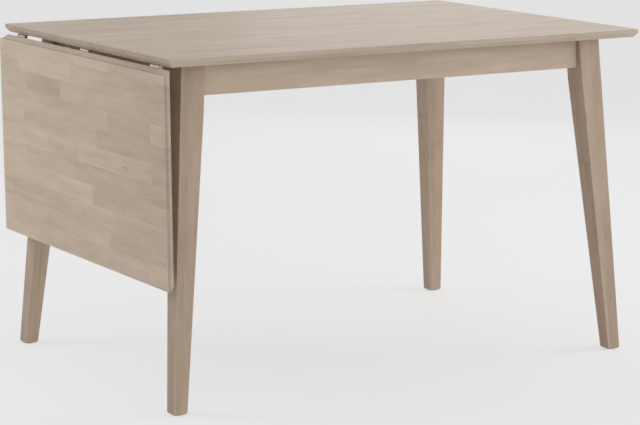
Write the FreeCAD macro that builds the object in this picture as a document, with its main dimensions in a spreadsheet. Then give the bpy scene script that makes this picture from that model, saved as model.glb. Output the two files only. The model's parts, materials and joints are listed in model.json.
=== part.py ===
import FreeCAD, Part
import Sketcher
import os
from math import cos, pi, radians, sin

# Drop leaf table.  X runs along the table, Y across it, Z up; the leaf hangs at the -X end.
# The origin is on the floor, under the middle of the table's bounding box with the leaf down.

Vector = FreeCAD.Vector
Rotation = FreeCAD.Rotation
doc = FreeCAD.newDocument("DropLeafTable")

# ---------------------------------------------------------------- sizes (mm and degrees)

SIZES = {
    # main top and leaf
    "top_length": 1200,
    "top_width": 800,
    "table_height": 745,
    "top_thickness": 18,
    "nosing_height": 8,
    "bevel_inset": 8.5,
    "panel_round": 1,
    "leaf_length": 444,
    "leaf_gap": 0.6,
    "leaf_tilt": 0.9,
    # legs
    "foot_inset_end": 14,
    "foot_inset_side": 17.5,
    "leg_splay": 3.8,
    "leg_width": 55,
    "foot_width": 32,
    "foot_chamfer": 3,
    "leg_round": 1.5,
    "knee_drop": 30,
    "glide_radius": 11,
    "glide_height": 1.5,
    "glide_chamfer": 0.5,
    # aprons and middle rail
    "apron_height": 71,
    "apron_thickness": 22,
    "apron_setback": 12,
    "apron_round": 2,
    "rail_height": 50,
    "rail_thickness": 22,
    "dowel_radius": 4,
    "dowel_length": 36,
    "dowel_chamfer": 1,
    "dowel_spacing": 24,
    "dowel_wall": 3,
    "dowel_end_room": 1,
    "dowel_clearance": 0.05,
    # corner plates and leg bolts
    "plate_corner": 22,
    "plate_flange": 36,
    "plate_sheet": 2.5,
    "plate_height": 46,
    "plate_gap": 6,
    "plate_screw_out": 22,
    "plate_screw_spread": 13,
    "flat_rise": 10,
    "bolt_radius": 4,
    "bolt_depth": 42,
    "bolt_tail": 4,
    "bolt_chamfer": 1,
    "bolt_clearance": 0.15,
    "washer_radius": 8,
    "washer_sheet": 1.6,
    "nut_width": 13,
    "nut_height": 6.5,
    "nut_chamfer": 0.6,
    # brackets that hold the top down
    "bracket_reach": 25,
    "bracket_width": 18,
    "bracket_sheet": 2,
    "bracket_hole_out": 15,
    "bracket_side_place": 240,
    "bracket_rail_place": 170,
    # hinges
    "hinge_drop": 4.5,
    "hinge_length": 40,
    "hinge_inset": 75,
    "hinge_leaf_width": 30,
    "hinge_sheet": 2.1,
    "hinge_corner": 4,
    "hinge_root": 1,
    "knuckle_count": 5,
    "knuckle_radius": 4.1,
    "knuckle_gap": 0.3,
    "pin_radius": 2,
    "pin_clearance": 0.05,
    "pin_head_radius": 3,
    "pin_head_height": 1,
    "hinge_screw_near": 13,
    "hinge_screw_far": 22,
    "hinge_screw_spread": 13,
    # leaf stays
    "stay_inset": 200,
    "pivot_inboard": 34,
    "pivot_drop": 52,
    "stay_reach": 240,
    "stay_ratio": 1.05,
    "stay_rest_height": 12,
    "stay_bar_width": 16,
    "stay_sheet": 3,
    "stay_side_gap": 1.2,
    "stay_pin_radius": 3,
    "slot_clearance": 0.3,
    "slot_margin": 9,
    "stay_flange": 22,
    "ear_radius": 9,
    "ear_height": 44,
    "ear_rise": 6,
    "ear_screw_spread": 13,
    "stay_play": 0.1,
    "friction_washer_radius": 8,
    "head_radius": 5.5,
    "head_height": 1.6,
    # screws
    "screw_radius": 1.6,
    "screw_head_radius": 3.2,
    "screw_head_height": 1.7,
    "screw_length": 13,
    "screw_clearance": 0.1,
}

# ------------------------------------------------------- places worked out from the sizes

PLACES = {
    "half_length": "dims.top_length / 2",
    "half_width": "dims.top_width / 2",
    "underside": "dims.table_height - dims.top_thickness",
    "nosing_foot": "dims.table_height - dims.nosing_height",
    "axis_x": "dims.bevel_inset - half_length",
    "axis_z": "underside - dims.hinge_drop",
    "frame_shift": "((dims.top_thickness + dims.hinge_drop) * cos(dims.leaf_tilt * 1deg)"
                   " - dims.bevel_inset * sin(dims.leaf_tilt * 1deg) - dims.bevel_inset) / 2",
    "splay": "tan(dims.leg_splay * 1deg)",
    "foot_x": "half_length - dims.foot_inset_end",
    "foot_y": "half_width - dims.foot_inset_side",
    "apron_foot": "underside - dims.apron_height",
    "knee": "apron_foot - dims.knee_drop",
    "inner_slope": "splay + (dims.leg_width - dims.foot_width) / knee",
    "chamfer_top": "dims.glide_height + dims.foot_chamfer",
    "end_face": "foot_x - splay * underside - dims.apron_setback",
    "side_face": "foot_y - splay * underside - dims.apron_setback",
    "corner_x": "end_face - dims.apron_thickness",
    "corner_y": "side_face - dims.apron_thickness",
    "plate_foot": "underside - dims.plate_gap - dims.plate_height",
    "bolt_height": "plate_foot + dims.plate_height / 2",
    "rail_foot": "underside - dims.rail_height",
    "dowel_reach": "dims.apron_thickness - dims.dowel_wall - dims.dowel_end_room",
    "hinge_place": "half_width - dims.hinge_inset",
    "stay_place": "half_width - dims.stay_inset",
    "leaf_near": "dims.bevel_inset + dims.leaf_gap",
    "leaf_far": "leaf_near + dims.leaf_length",
    "pivot_x": "axis_x + dims.pivot_inboard",
    "pivot_z": "axis_z - dims.pivot_drop",
    "stay_start": "asin((dims.pivot_inboard * cos(dims.leaf_tilt * 1deg)"
                  " - dims.pivot_drop * sin(dims.leaf_tilt * 1deg) - dims.stay_rest_height)"
                  " / dims.stay_reach) / 1deg - dims.leaf_tilt",
    "fin_near": "stay_place + dims.stay_sheet / 2 + dims.stay_side_gap",
    "fin_far": "fin_near + dims.stay_sheet",
    "ear_foot": "apron_foot + dims.ear_rise",
    "arm_near": "stay_place - dims.stay_sheet / 2",
}


def make_sheet(name, rows, sign):
    sheet = doc.addObject("Spreadsheet::Sheet", name)
    for row, (word, value) in enumerate(rows.items(), start=1):
        sheet.set(f"A{row}", word)
        sheet.set(f"B{row}", sign + str(value))
        sheet.setAlias(f"B{row}", word)
    doc.recompute()
    return sheet


dims = make_sheet("dims", SIZES, "")
fits = make_sheet("fits", PLACES, "=")


def number(text):
    return float(fits.evalExpression(str(text)))


def signed(side, text):
    return f"({side}) * ({text})"


# ------------------------------------------------------------------------ small builders

def bind(thing, **expressions):
    for path, text in expressions.items():
        thing.setExpression(path.replace("_", "."), str(text))


def bind_base(thing, x, y, z):
    bind(thing, Placement_Base_x=x, Placement_Base_y=y, Placement_Base_z=z)


def new_sketch(body, role, height):
    sketch = body.newObject("Sketcher::SketchObject", body.Name + "_outline")
    plane = next(item for item in body.Origin.OriginFeatures if item.Role == role)
    sketch.AttachmentSupport = (plane, [""])
    sketch.MapMode = "FlatFace"
    bind(sketch, AttachmentOffset_Base_z=height)
    return sketch


def pin_down(sketch, item, end, point):
    for kind, text in zip(("DistanceX", "DistanceY"), point):
        row = sketch.addConstraint(Sketcher.Constraint(kind, -1, 1, item, end, number(text)))
        sketch.setExpression(f"Constraints[{row}]", str(text))


def draw_lines(sketch, points):
    spots = [Vector(number(across), number(up), 0) for across, up in points]
    count = len(spots)
    lines = [sketch.addGeometry(Part.LineSegment(spots[i], spots[(i + 1) % count]), False)
             for i in range(count)]
    for i, line in enumerate(lines):
        sketch.addConstraint(Sketcher.Constraint("Coincident", line, 2, lines[(i + 1) % count], 1))
        pin_down(sketch, line, 1, points[i])


def draw_circle(sketch, centre, radius):
    spot = Vector(number(centre[0]), number(centre[1]), 0)
    ring = sketch.addGeometry(Part.Circle(spot, Vector(0, 0, 1), number(radius)), False)
    pin_down(sketch, ring, 3, centre)
    row = sketch.addConstraint(Sketcher.Constraint("Radius", ring, number(radius)))
    sketch.setExpression(f"Constraints[{row}]", str(radius))


def rectangle(x_low, x_high, y_low, y_high):
    return [(x_low, y_low), (x_high, y_low), (x_high, y_high), (x_low, y_high)]


def padded(name, role, start, depth, points, holes=()):
    """A closed outline on a plane, padded from start along that plane's world axis."""
    body = doc.addObject("PartDesign::Body", name)
    # the XZ plane looks along -Y, so its outlines start from the far face
    height = f"-({start}) - ({depth})" if role == "XZ_Plane" else start
    sketch = new_sketch(body, role, height)
    draw_lines(sketch, points)
    for centre, radius in holes:
        draw_circle(sketch, centre, radius)
    pad = body.newObject("PartDesign::Pad", name + "_pad")
    pad.Profile = sketch
    bind(pad, Length=depth)
    return body


def turned(name, points):
    """A half outline in (radius, height) turned about the Z axis."""
    body = doc.addObject("PartDesign::Body", name)
    sketch = new_sketch(body, "XZ_Plane", 0)
    draw_lines(sketch, points)
    turn = body.newObject("PartDesign::Revolution", name + "_turn")
    turn.Profile = sketch
    turn.ReferenceAxis = (sketch, ["V_Axis"])
    turn.Angle = 360
    return body


def cylinder(name, radius, length, base, aim):
    rod = doc.addObject("Part::Cylinder", name)
    bind(rod, Radius=radius, Height=length)
    rod.Placement = FreeCAD.Placement(Vector(), Rotation(Vector(0, 0, 1), Vector(*aim)))
    bind_base(rod, *base)
    return rod


UPWARD = Rotation()


def toward(x, y):
    return Rotation(Vector(0, 0, 1), Vector(x, y, 0))


def swung(angle):
    return Rotation(Vector(0, 0, 1), angle)


def copies(name, source, spots):
    """Copies of one shape at (x, y, z, rotation) spots, as a group of separate solids."""
    links = []
    for x, y, z, rotation in spots:
        link = doc.addObject("App::Link", name + "_copy")
        link.LinkedObject = source
        link.Placement = FreeCAD.Placement(Vector(), rotation)
        bind_base(link, x, y, z)
        links.append(link)
    group = doc.addObject("Part::Compound", name)
    group.Links = links
    return group


def fused(name, pieces):
    whole = doc.addObject("Part::MultiFuse", name)
    whole.Shapes = pieces
    whole.Refine = True
    return whole


def cut(name, base, tools):
    tool = tools[0]
    if len(tools) > 1:
        tool = doc.addObject("Part::Compound", name + "_tools")
        tool.Links = tools
    result = doc.addObject("Part::Cut", name)
    result.Base = base
    result.Tool = tool
    return result


def rounded(name, source, radius, wanted):
    """Fillets on the edges of the source that the test picks out."""
    doc.recompute()
    result = doc.addObject("Part::Fillet", name)
    result.Base = source
    size = number(radius)
    result.Edges = [(i, size, size) for i, edge in enumerate(source.Shape.Edges, 1) if wanted(edge)]
    return result


# --------------------------------------------------------------- where each sub-part sits

HOMES = {
    "frame": ("fits.frame_shift", "0", "0", None),
    "leaf": ("fits.axis_x + fits.frame_shift", "0", "fits.axis_z", "-90 - dims.leaf_tilt"),
    "arm": ("fits.pivot_x + fits.frame_shift", "0", "fits.pivot_z", "fits.stay_start"),
}
sub_parts = []


def keep(label, thing, home="frame"):
    """Names a sub-part and sets it in its home, which is modelled about its own axis."""
    x, y, z, turn = HOMES[home]
    if turn:
        thing.Placement = FreeCAD.Placement(Vector(), Rotation(Vector(0, 1, 0), 1))
        bind(thing, Placement_Rotation_Angle=turn)
    bind_base(thing, x, y, z)
    thing.Label = label
    sub_parts.append(thing)


# -------------------------------------------------------------------------- screws, bolts

def screw_outline(room):
    """Half outline of a countersunk screw, head at the origin, grown by the room given."""
    head = f"dims.screw_head_radius + {room}"
    shank = f"dims.screw_radius + {room}"
    return [("0", f"-({room})"), (head, f"-({room})"), (head, "0"),
            (shank, "dims.screw_head_height"), (shank, f"dims.screw_length + {room}"),
            ("0", f"dims.screw_length + {room}")]


screw = turned("screw", [("0", "0"), ("dims.screw_head_radius", "0"),
                         ("dims.screw_radius", "dims.screw_head_height"),
                         ("dims.screw_radius", "dims.screw_length - 2 * dims.screw_radius"),
                         ("0", "dims.screw_length")])
screw_room = turned("screw_room", screw_outline("dims.screw_clearance"))

CORNERS = [("front_left", -1, -1), ("front_right", 1, -1), ("back_left", -1, 1), ("back_right", 1, 1)]

bolt_tail = "(dims.plate_sheet + dims.washer_sheet + dims.nut_height + dims.bolt_tail)"
bolt = turned("bolt", [("0", f"-{bolt_tail}"), ("dims.bolt_radius - dims.bolt_chamfer", f"-{bolt_tail}"),
                       ("dims.bolt_radius", f"dims.bolt_chamfer - {bolt_tail}"),
                       ("dims.bolt_radius", "dims.bolt_depth - dims.bolt_radius"),
                       ("0", "dims.bolt_depth")])
bolt_bore = "dims.bolt_radius + dims.bolt_clearance"
bolt_room = turned("bolt_room", [("0", f"-{bolt_tail}"), (bolt_bore, f"-{bolt_tail}"),
                                 (bolt_bore, "dims.bolt_depth + dims.bolt_clearance"),
                                 ("0", "dims.bolt_depth + dims.bolt_clearance")])
washer_back = "-dims.plate_sheet - dims.washer_sheet"
washer = turned("washer", rectangle(bolt_bore, "dims.washer_radius", washer_back, "-dims.plate_sheet"))
nut_side = "dims.nut_width / 2 / cos(30deg)"
nut_top = f"{washer_back} - dims.nut_height"
nut_run = "dims.nut_chamfer / tan(30deg)"
nut_flats = padded("nut_flats", "XY_Plane", nut_top, "dims.nut_height",
                   [(f"{nut_side} * cos({angle}deg)", f"{nut_side} * sin({angle}deg)")
                    for angle in range(0, 360, 60)])
nut_cone = turned("nut_cone", [(bolt_bore, nut_top), (f"{nut_side} - {nut_run}", nut_top),
                               (f"{nut_side} + {nut_run}", f"{nut_top} + 2 * dims.nut_chamfer"),
                               (f"{nut_side} + {nut_run}", washer_back), (bolt_bore, washer_back)])
nut = doc.addObject("Part::Common", "nut")
nut.Base, nut.Tool = nut_flats, nut_cone


def bolt_spot(side_x, side_y):
    return (signed(side_x, "fits.corner_x - dims.plate_corner / 2"),
            signed(side_y, "fits.corner_y - dims.plate_corner / 2"),
            "fits.bolt_height", toward(side_x, side_y))


bolt_spots = [bolt_spot(side_x, side_y) for _, side_x, side_y in CORNERS]
keep("leg_bolts", copies("leg_bolts", bolt, bolt_spots))
keep("leg_bolt_washers", copies("leg_bolt_washers", washer, bolt_spots))
keep("leg_bolt_nuts", copies("leg_bolt_nuts", nut, bolt_spots))

# ----------------------------------------------------------------- brackets under the top

hole_out, sheet = "dims.bracket_hole_out", "dims.bracket_sheet"
pair_spots = [(hole_out, "0", f"-{sheet}", UPWARD), (sheet, "0", f"-{hole_out}", toward(-1, 0))]
bracket_angle = padded("bracket_angle", "XZ_Plane", "-dims.bracket_width / 2", "dims.bracket_width",
                       [("0", "0"), ("dims.bracket_reach", "0"), ("dims.bracket_reach", f"-{sheet}"),
                        (sheet, f"-{sheet}"), (sheet, "-dims.bracket_reach"),
                        ("0", "-dims.bracket_reach")])
pair_room = copies("pair_room", screw_room, pair_spots)
bracket = cut("bracket", bracket_angle, [pair_room])
screw_pair = copies("screw_pair", screw, pair_spots)

bracket_spots = []
for side in (-1, 1):
    along = signed(side, "dims.bracket_side_place")
    bracket_spots += [(along, "-fits.corner_y", "fits.underside", swung(90)),
                      (along, "fits.corner_y", "fits.underside", swung(-90)),
                      (signed(side, "fits.corner_x"), "0", "fits.underside", swung(90 + side * 90)),
                      ("dims.rail_thickness / 2", signed(side, "dims.bracket_rail_place"),
                       "fits.underside", swung(0))]
bracket_rooms = copies("bracket_rooms", pair_room, bracket_spots)
keep("top_brackets", copies("top_brackets", bracket, bracket_spots))
keep("top_bracket_screws", copies("top_bracket_screws", screw_pair, bracket_spots))

# -------------------------------------------------------------- hinges, about their axis

HINGES = [("front", -1), ("middle", 0), ("back", 1)]
knuckle_pitch = "dims.hinge_length / dims.knuckle_count"
knuckle_room = "(dims.knuckle_radius + dims.knuckle_gap)"
plate_low = "dims.hinge_drop - dims.hinge_sheet"


def hinge_screw_spots(side):
    """Two screws near the knuckles and one far from them, on each of the three hinges."""
    spots = []
    for _, place in HINGES:
        middle = signed(place, "fits.hinge_place")
        for out, across in (("near", -1), ("near", 1), ("far", 0)):
            spots.append((signed(side, f"dims.hinge_screw_{out}"),
                          f"{middle} + {across} * dims.hinge_screw_spread", plate_low, UPWARD))
    return spots


def hinge_plate(name, side, place, first):
    """One flap of a hinge: a flat plate with every second knuckle rolled from it."""
    middle = signed(place, "fits.hinge_place")
    low, high = f"{middle} - dims.hinge_length / 2", f"{middle} + dims.hinge_length / 2"
    root, edge = signed(side, knuckle_room), signed(side, "dims.hinge_leaf_width")
    corner = signed(side, "dims.hinge_leaf_width - dims.hinge_corner")
    plate = padded(name + "_flat", "XY_Plane", plate_low, "dims.hinge_sheet",
                   [(root, low), (corner, low), (edge, f"{low} + dims.hinge_corner"),
                    (edge, f"{high} - dims.hinge_corner"), (corner, high), (root, high)])
    pieces = [plate]
    length = f"{knuckle_pitch} - dims.knuckle_gap"
    for index in range(first, int(number("dims.knuckle_count")), 2):
        start = f"{low} + {index} * {knuckle_pitch}"
        barrel = cylinder(name + "_barrel", "dims.knuckle_radius", length, ("0", start, "0"), (0, 1, 0))
        tongue = doc.addObject("Part::Box", name + "_tongue")
        bind(tongue, Length=knuckle_room, Width=length, Height="dims.hinge_sheet")
        bind_base(tongue, "dims.hinge_root" if side > 0 else f"-dims.hinge_root - {knuckle_room}",
                  start, plate_low)
        pieces += [barrel, tongue]
    bore = cylinder(name + "_bore", "dims.pin_radius + dims.pin_clearance", "dims.hinge_length",
                    ("0", low, "0"), (0, 1, 0))
    return cut(name, fused(name + "_flap", pieces), [bore, hinge_rooms[side]])


hinge_rooms = {side: copies("hinge_rooms", screw_room, hinge_screw_spots(side)) for side in (-1, 1)}
hinge_screws = {side: copies("hinge_screws", screw, hinge_screw_spots(side)) for side in (-1, 1)}
barrel_length = "(dims.hinge_length - dims.knuckle_gap)"
hinge_pin = turned("hinge_pin", [
    ("0", "-dims.pin_head_height"), ("dims.pin_head_radius", "-dims.pin_head_height"),
    ("dims.pin_head_radius", "0"), ("dims.pin_radius", "0"), ("dims.pin_radius", barrel_length),
    ("dims.pin_head_radius", barrel_length),
    ("dims.pin_head_radius", f"{barrel_length} + dims.pin_head_height"),
    ("0", f"{barrel_length} + dims.pin_head_height")])

HOMES["hinge"] = ("fits.axis_x + fits.frame_shift", "0", "fits.axis_z", None)
for label, place in HINGES:
    keep(f"top_hinge_plate_{label}", hinge_plate(f"top_hinge_plate_{label}", 1, place, 0), "hinge")
    keep(f"leaf_hinge_plate_{label}", hinge_plate(f"leaf_hinge_plate_{label}", -1, place, 1), "leaf")
    start = f"({place}) * fits.hinge_place - dims.hinge_length / 2"
    keep(f"hinge_pin_{label}",
         copies(f"hinge_pin_{label}", hinge_pin, [("0", start, "0", toward(0, 1))]), "hinge")
keep("top_hinge_screws", hinge_screws[1], "hinge")
keep("leaf_hinge_screws", hinge_screws[-1], "leaf")

# ----------------------------------------------------------------------------- leaf stays

# The bar of a stay swings from the bracket on the apron while the leaf swings about its hinges,
# stay_ratio times as fast.  Seen from the leaf, the pin at its tip runs along a rising and
# falling curve, and that curve is the middle of the slot in the guide.
STAYS = [("front", -1), ("back", 1)]
pin_hole = "dims.stay_pin_radius + dims.pin_clearance"
bar_half = "dims.stay_bar_width / 2"


def layer(side, near, depth):
    """Lowest Y of a layer that starts at a distance from the middle of the table."""
    return near if side > 0 else f"-({near}) - ({depth})"


def draw_arc(sketch, centre, radius, start, finish):
    spot = Vector(number(centre[0]), number(centre[1]), 0)
    circle = Part.Circle(spot, Vector(0, 0, 1), number(radius))
    arc = sketch.addGeometry(Part.ArcOfCircle(circle, start, finish), False)
    pin_down(sketch, arc, 3, centre)
    row = sketch.addConstraint(Sketcher.Constraint("Radius", arc, number(radius)))
    sketch.setExpression(f"Constraints[{row}]", str(radius))
    return arc


def join(sketch, line, line_end, arc, arc_end):
    sketch.addConstraint(Sketcher.Constraint("Tangent", line, line_end, arc, arc_end))


def stay_bar(name, side):
    """A flat bar with round ends, hanging from its pivot at the origin."""
    body = doc.addObject("PartDesign::Body", name)
    start = layer(side, "fits.arm_near", "dims.stay_sheet")
    sketch = new_sketch(body, "XZ_Plane", f"-({start}) - dims.stay_sheet")
    reach, half = number("dims.stay_reach"), number(bar_half)
    tip = ("0", "-dims.stay_reach")
    upper = draw_arc(sketch, ("0", "0"), bar_half, 0, pi)
    lower = draw_arc(sketch, tip, bar_half, pi, 2 * pi)
    left = sketch.addGeometry(Part.LineSegment(Vector(-half, 0, 0), Vector(-half, -reach, 0)), False)
    right = sketch.addGeometry(Part.LineSegment(Vector(half, -reach, 0), Vector(half, 0, 0)), False)
    join(sketch, left, 1, upper, 2)
    join(sketch, left, 2, lower, 1)
    join(sketch, right, 1, lower, 2)
    join(sketch, right, 2, upper, 1)
    draw_circle(sketch, ("0", "0"), pin_hole)
    draw_circle(sketch, tip, pin_hole)
    pad = body.newObject("PartDesign::Pad", name + "_pad")
    pad.Profile = sketch
    bind(pad, Length="dims.stay_sheet")
    return body


def stay_ear(name, side):
    """The ear of a bracket: from the apron out to a round end at the pivot."""
    body = doc.addObject("PartDesign::Body", name)
    start = layer(side, "fits.fin_near", "dims.stay_sheet")
    sketch = new_sketch(body, "XZ_Plane", f"-({start}) - dims.stay_sheet")
    centre, radius = ("fits.pivot_x", "fits.pivot_z"), number("dims.ear_radius")
    low, high = ("-fits.end_face", "fits.ear_foot"), ("-fits.end_face", "fits.ear_foot + dims.ear_height")
    low_spot, high_spot = (Vector(number(x), number(z), 0) for x, z in (low, high))
    middle = Vector(number(centre[0]), number(centre[1]), 0)
    back = sketch.addGeometry(Part.LineSegment(low_spot, high_spot), False)
    pin_down(sketch, back, 1, low)
    pin_down(sketch, back, 2, high)
    end = draw_arc(sketch, centre, "dims.ear_radius", pi / 2, 3 * pi / 2)
    over = sketch.addGeometry(Part.LineSegment(high_spot, middle + Vector(0, radius, 0)), False)
    under = sketch.addGeometry(Part.LineSegment(middle - Vector(0, radius, 0), low_spot), False)
    sketch.addConstraint(Sketcher.Constraint("Coincident", over, 1, back, 2))
    sketch.addConstraint(Sketcher.Constraint("Coincident", under, 2, back, 1))
    join(sketch, over, 2, end, 1)
    join(sketch, under, 1, end, 2)
    draw_circle(sketch, centre, pin_hole)
    pad = body.newObject("PartDesign::Pad", name + "_pad")
    pad.Profile = sketch
    bind(pad, Length="dims.stay_sheet")
    return body


def stay_rivet(name, front_play, back_play):
    """A rivet through the bar and the sheet beside it, with the bar's inner face at the origin."""
    stack = f"(2 * dims.stay_sheet + dims.stay_side_gap + {back_play})"
    head, shank, tall = "dims.head_radius", "dims.stay_pin_radius", "dims.head_height"
    return turned(name, [("0", f"-{tall} - {front_play}"), (head, f"-{tall} - {front_play}"),
                         (head, f"-{front_play}"), (shank, f"-{front_play}"), (shank, stack),
                         (head, stack), (head, f"{stack} + {tall}"), ("0", f"{stack} + {tall}")])


def pin_path(turn):
    """Place of the stay's pin on the leaf, (out from the hinge, down from the leaf's axis)."""
    leaf = radians(turn - number("dims.leaf_tilt"))
    bar = radians(number("fits.stay_start") + number("dims.stay_ratio") * turn)
    reach = number("dims.stay_reach")
    inboard, drop = number("dims.pivot_inboard"), number("dims.pivot_drop")
    out = reach * cos(bar - leaf) + drop * cos(leaf) - inboard * sin(leaf)
    down = inboard * cos(leaf) + drop * sin(leaf) - reach * sin(bar - leaf)
    return Vector(-out, 0, -down)


def path_band(half, thickness, low):
    """The strip within half of the pin's path, with round ends, as a sheet at a given Y."""
    whole = 90 + number("dims.leaf_tilt")
    turns = [whole * step / 12 for step in range(13)]
    line, sides = [pin_path(turn) for turn in turns], {1: [], -1: []}
    for turn, spot in zip(turns, line):
        ahead = pin_path(turn + 0.01) - pin_path(turn - 0.01)
        across = Vector(-ahead.z, 0, ahead.x).normalize() * half
        for way in sides:
            sides[way].append(spot + across * way)
    edges = []
    for way in sides:
        curve = Part.BSplineCurve()
        curve.interpolate(sides[way])
        edges.append(curve.toShape())
    for end, inside in ((0, 1), (-1, -2)):
        past = line[end] + (line[end] - line[inside]).normalize() * half
        edges.append(Part.Arc(sides[1][end], past, sides[-1][end]).toShape())
    face = Part.Face(Part.Wire(Part.__sortEdges__(edges)))
    face.translate(Vector(0, low, 0))
    return face.extrude(Vector(0, thickness, 0)), line


def stay_guide(name, side):
    """A folded angle on the leaf: a flange screwed to it and a fin with the curved slot."""
    sheet, margin, width = (number(f"dims.{word}") for word in ("stay_sheet", "slot_margin", "stay_flange"))
    near, seat = number("fits.fin_near"), number("dims.hinge_drop")
    low = near if side > 0 else -near - sheet
    fin, line = path_band(margin, sheet, low)
    first, last = line[0], line[-1]
    corners = [Vector(first.x - margin, low, seat), Vector(first.x - margin, low, first.z),
               *(spot + Vector(0, low, 0) for spot in line),
               Vector(last.x + margin, low, last.z), Vector(last.x + margin, low, seat)]
    web = Part.Face(Part.makePolygon(corners + corners[:1])).extrude(Vector(0, sheet, 0))
    flange = Part.makeBox(last.x - first.x + 2 * margin, width, sheet,
                          Vector(first.x - margin, near if side > 0 else -near - width, seat - sheet))
    slot, _ = path_band(number("dims.stay_pin_radius + dims.slot_clearance"), sheet, low)
    guide = doc.addObject("Part::Feature", name)
    guide.Shape = fin.fuse([web, flange]).removeSplitter().cut(slot)
    return guide


def guide_screw_spots(side):
    first, last = pin_path(0).x, pin_path(90 + number("dims.leaf_tilt")).x
    across = signed(side, "(fits.fin_far + fits.fin_near + dims.stay_flange) / 2")
    return [(first + (last - first) * step / 3, across, "dims.hinge_drop - dims.stay_sheet", UPWARD)
            for step in range(4)]


def ear_screw_spots(side):
    across = signed(side, "(fits.fin_far + fits.fin_near + dims.stay_flange) / 2")
    return [("-fits.end_face - dims.stay_sheet", across,
             f"fits.ear_foot + dims.ear_height / 2 + ({way}) * dims.ear_screw_spread", toward(1, 0))
            for way in (-1, 1)]


ear_spots = ear_screw_spots(-1) + ear_screw_spots(1)
guide_spots = guide_screw_spots(-1) + guide_screw_spots(1)
ear_rooms = copies("ear_rooms", screw_room, ear_spots)
guide_rooms = copies("guide_rooms", screw_room, guide_spots)
pivot_rivet = stay_rivet("pivot_rivet", "dims.stay_play", "0")
tip_rivet = stay_rivet("tip_rivet", "0", "dims.stay_play")
friction_washer = turned("friction_washer", rectangle(
    pin_hole, "dims.friction_washer_radius", "dims.stay_sheet + dims.stay_play",
    "dims.stay_sheet + dims.stay_side_gap - dims.stay_play"))

washer_spots = []
for label, side in STAYS:
    inner = signed(side, "fits.arm_near")
    pivot_spot = ("fits.pivot_x", inner, "fits.pivot_z", toward(0, side))
    washer_spots.append(pivot_spot)
    flange = padded(f"bracket_flange_{label}", "YZ_Plane", "-fits.end_face - dims.stay_sheet",
                    "dims.stay_sheet",
                    rectangle(signed(side, "fits.fin_near"),
                              signed(side, "fits.fin_near + dims.stay_flange"),
                              "fits.ear_foot", "fits.ear_foot + dims.ear_height"))
    folded = fused(f"bracket_fold_{label}", [stay_ear(f"ear_{label}", side), flange])
    keep(f"stay_bracket_{label}", cut(f"stay_bracket_{label}", folded, [ear_rooms]))
    keep(f"stay_pivot_{label}", copies(f"stay_pivot_{label}", pivot_rivet, [pivot_spot]))
    keep(f"stay_arm_{label}", stay_bar(f"stay_arm_{label}", side), "arm")
    keep(f"stay_tip_pin_{label}", copies(f"stay_tip_pin_{label}", tip_rivet, [
        ("0", inner, "-dims.stay_reach", toward(0, side))]), "arm")
    keep(f"stay_guide_{label}",
         cut(f"stay_guide_{label}", stay_guide(f"guide_{label}", side), [guide_rooms]), "leaf")
keep("stay_friction_washers", copies("stay_friction_washers", friction_washer, washer_spots))
keep("stay_bracket_screws", copies("stay_bracket_screws", screw, ear_spots))
keep("stay_guide_screws", copies("stay_guide_screws", screw, guide_spots), "leaf")

# --------------------------------------------------------------------------- corner plates

def corner_points(side_x, side_y):
    """Plan of a folded plate: two flanges on the aprons and a web across the corner."""
    outer = [("{x} - {flange}", "{y}"), ("{x} - {corner}", "{y}"),
             ("{x}", "{y} - {corner}"), ("{x}", "{y} - {flange}")]
    inner = [("{x} - {sheet}", "{y} - {flange}"), ("{x} - {sheet}", "{y} - {corner} - {fold}"),
             ("{x} - {corner} - {fold}", "{y} - {sheet}"), ("{x} - {flange}", "{y} - {sheet}")]
    words = {"x": "fits.corner_x", "y": "fits.corner_y", "corner": "dims.plate_corner",
             "flange": "(dims.plate_corner + dims.plate_flange)", "sheet": "dims.plate_sheet",
             "fold": "dims.plate_sheet * tan(22.5deg)"}
    return [(signed(side_x, across.format(**words)), signed(side_y, along.format(**words)))
            for across, along in outer + inner]


def plate_screw_spots(side_x, side_y):
    """Two screws through each flange, one above the other."""
    back = "(dims.plate_corner + dims.plate_screw_out)"
    spots = []
    for way in (-1, 1):
        height = f"fits.bolt_height + ({way}) * dims.plate_screw_spread"
        spots += [(signed(side_x, f"fits.corner_x - {back}"),
                   signed(side_y, "fits.corner_y - dims.plate_sheet"), height, toward(0, side_y)),
                  (signed(side_x, "fits.corner_x - dims.plate_sheet"),
                   signed(side_y, f"fits.corner_y - {back}"), height, toward(side_x, 0))]
    return spots


plate_spots = [spot for _, side_x, side_y in CORNERS for spot in plate_screw_spots(side_x, side_y)]
plate_rooms = copies("plate_rooms", screw_room, plate_spots)
bolt_rooms = copies("bolt_rooms", bolt_room, bolt_spots)
keep("corner_plate_screws", copies("corner_plate_screws", screw, plate_spots))
for label, side_x, side_y in CORNERS:
    plate = padded(f"plate_{label}", "XY_Plane", "fits.plate_foot", "dims.plate_height",
                   corner_points(side_x, side_y))
    keep(f"corner_plate_{label}", cut(f"corner_plate_{label}", plate, [plate_rooms, bolt_rooms]))

# ----------------------------------------------------------------------------- wooden frame

def leg_outline(side, face):
    """Side view of a leg: a straight outer edge and an inner one that tapers below the knee."""
    points = [(f"{face} - fits.splay * dims.glide_height - dims.foot_chamfer", "dims.glide_height"),
              (f"{face} - fits.splay * fits.chamfer_top", "fits.chamfer_top"),
              (f"{face} - fits.splay * fits.underside", "fits.underside"),
              (f"{face} - fits.splay * fits.underside - dims.leg_width", "fits.underside"),
              (f"{face} - fits.splay * fits.knee - dims.leg_width", "fits.knee"),
              (f"{face} - dims.foot_width - fits.inner_slope * fits.chamfer_top", "fits.chamfer_top"),
              (f"{face} - dims.foot_width - fits.inner_slope * dims.glide_height + dims.foot_chamfer",
               "dims.glide_height")]
    return [(signed(side, across), up) for across, up in points]


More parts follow.
